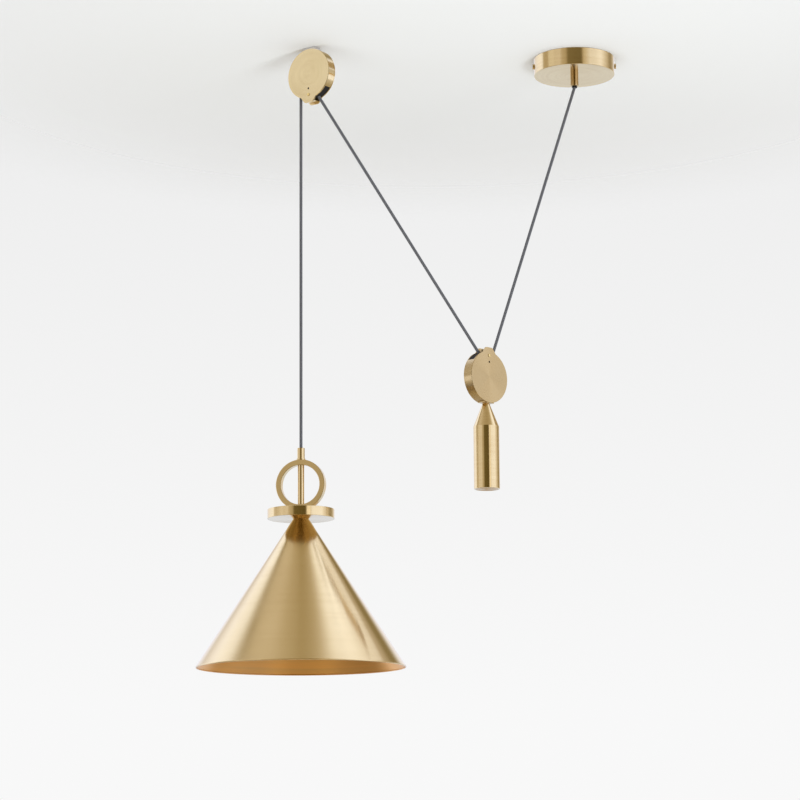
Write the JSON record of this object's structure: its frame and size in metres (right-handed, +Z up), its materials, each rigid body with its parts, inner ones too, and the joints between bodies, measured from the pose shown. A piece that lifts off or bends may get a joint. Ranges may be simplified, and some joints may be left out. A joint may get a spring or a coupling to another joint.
{
  "type": "rise and fall pendant light",
  "caption": "Rise and fall pendant: cone shade on a corded ceiling pulley, balanced by a bullet counterweight on a moving pulley.",
  "frame": {"origin": "centre of the canopy on the ceiling plane", "axes": "+Z up into the ceiling, +X to the right and +Y away from a person who looks at the front; the lamp head hangs at -X"},
  "size_m": [0.6218, 0.3008, 0.9136],
  "materials": {
    "satin_brass": "satin, fine brushed grain",
    "brass_plated_aluminium": "spun aluminium with a satin brass plating",
    "steel": "zinc plated",
    "black_plastic": "moulded, matt",
    "white_plastic": "moulded, matt",
    "porcelain": "glazed",
    "ballast": "turned",
    "cord_fabric": "smooth round sheath",
    "brown_insulation": "smooth",
    "blue_insulation": "smooth",
    "green_insulation": "smooth"
  },
  "bodies": {
    "ceiling_fixture": {"canopy_cup": "satin_brass", "ceiling_strap": "steel", "side_screws": "satin_brass", "cord_grip": "satin_brass", "cord_grip_nut": "satin_brass", "cord_grip_bush": "black_plastic", "terminal_block": "white_plastic", "terminal_screws": "steel", "live_wire": "brown_insulation", "neutral_wire": "blue_insulation", "earth_wire": "green_insulation", "ceiling_pulley_cup": "satin_brass", "ceiling_pulley_cover": "satin_brass", "ceiling_pulley_axle": "steel", "drop_guide": "black_plastic", "slant_guide": "black_plastic", "ceiling_pulley_lug_block": "satin_brass", "ceiling_pulley_lug_screw": "satin_brass", "ceiling_friction_screw": "steel", "ceiling_foot": "steel", "ceiling_foot_screws": "satin_brass", "cord_in_canopy": "cord_fabric", "cord_riser": "cord_fabric", "cord_slant": "cord_fabric", "cord_on_ceiling_wheel": "cord_fabric", "cord_drop": "cord_fabric"},
    "ceiling_wheel": {"ceiling_pulley_wheel": "black_plastic"},
    "counterweight": {"weight_pulley_cup": "satin_brass", "weight_pulley_cover": "satin_brass", "weight_pulley_axle": "steel", "weight_slant_guide": "black_plastic", "weight_riser_guide": "black_plastic", "weight_pulley_lug_block": "satin_brass", "weight_pulley_lug_screw": "satin_brass", "weight_friction_screw": "steel", "weight_yoke": "satin_brass", "weight_yoke_screws": "satin_brass", "weight_stud": "steel", "weight_shell": "satin_brass", "weight_ballast": "ballast", "weight_plug": "satin_brass", "cord_on_weight_wheel": "cord_fabric"},
    "weight_wheel": {"weight_pulley_wheel": "black_plastic"},
    "lamp_head": {"lamp_collar": "satin_brass", "lamp_ring": "satin_brass", "rod_sleeve": "satin_brass", "threaded_tube": "steel", "plate_shell": "brass_plated_aluminium", "plate_base": "brass_plated_aluminium", "shade": "brass_plated_aluminium", "shade_nut": "steel", "holder_cap": "black_plastic", "holder_body": "black_plastic", "holder_insert": "porcelain", "holder_shell": "satin_brass", "holder_contact": "satin_brass", "holder_terminals": "satin_brass", "holder_live_wire": "brown_insulation", "holder_neutral_wire": "blue_insulation", "cord_in_lamp": "cord_fabric"}
  },
  "joints": [
    {"name": "lamp_rise_fall", "type": "slide", "parent": "ceiling_fixture", "child": "lamp_head", "axis": [0, 0, 1], "range_m": [-0.3, 0.36], "deforming": ["cord_drop"]},
    {"name": "counterweight_travel", "type": "slide", "parent": "ceiling_fixture", "child": "counterweight", "axis": [0, 0, 1], "range_m": [-0.205, 0.175], "deforming": ["cord_slant", "cord_riser"]},
    {"name": "ceiling_wheel_spin", "type": "hinge", "parent": "ceiling_fixture", "child": "ceiling_wheel", "pos_m": [-0.3925, -0.062, -0.0405], "axis": [0.585, 0.8111, 0], "continuous": true},
    {"name": "weight_wheel_spin", "type": "hinge", "parent": "counterweight", "child": "weight_wheel", "pos_m": [-0.14, -0.026, -0.4907], "axis": [-0.7046, 0.7096, 0], "continuous": true}
  ],
  "couplings": [
    {"joint": "counterweight_travel", "follows": "lamp_rise_fall", "ratio": -0.554},
    {"joint": "ceiling_wheel_spin", "follows": "lamp_rise_fall", "rad_per_m": 50},
    {"joint": "weight_wheel_spin", "follows": "lamp_rise_fall", "rad_per_m": -26.4}
  ]
}
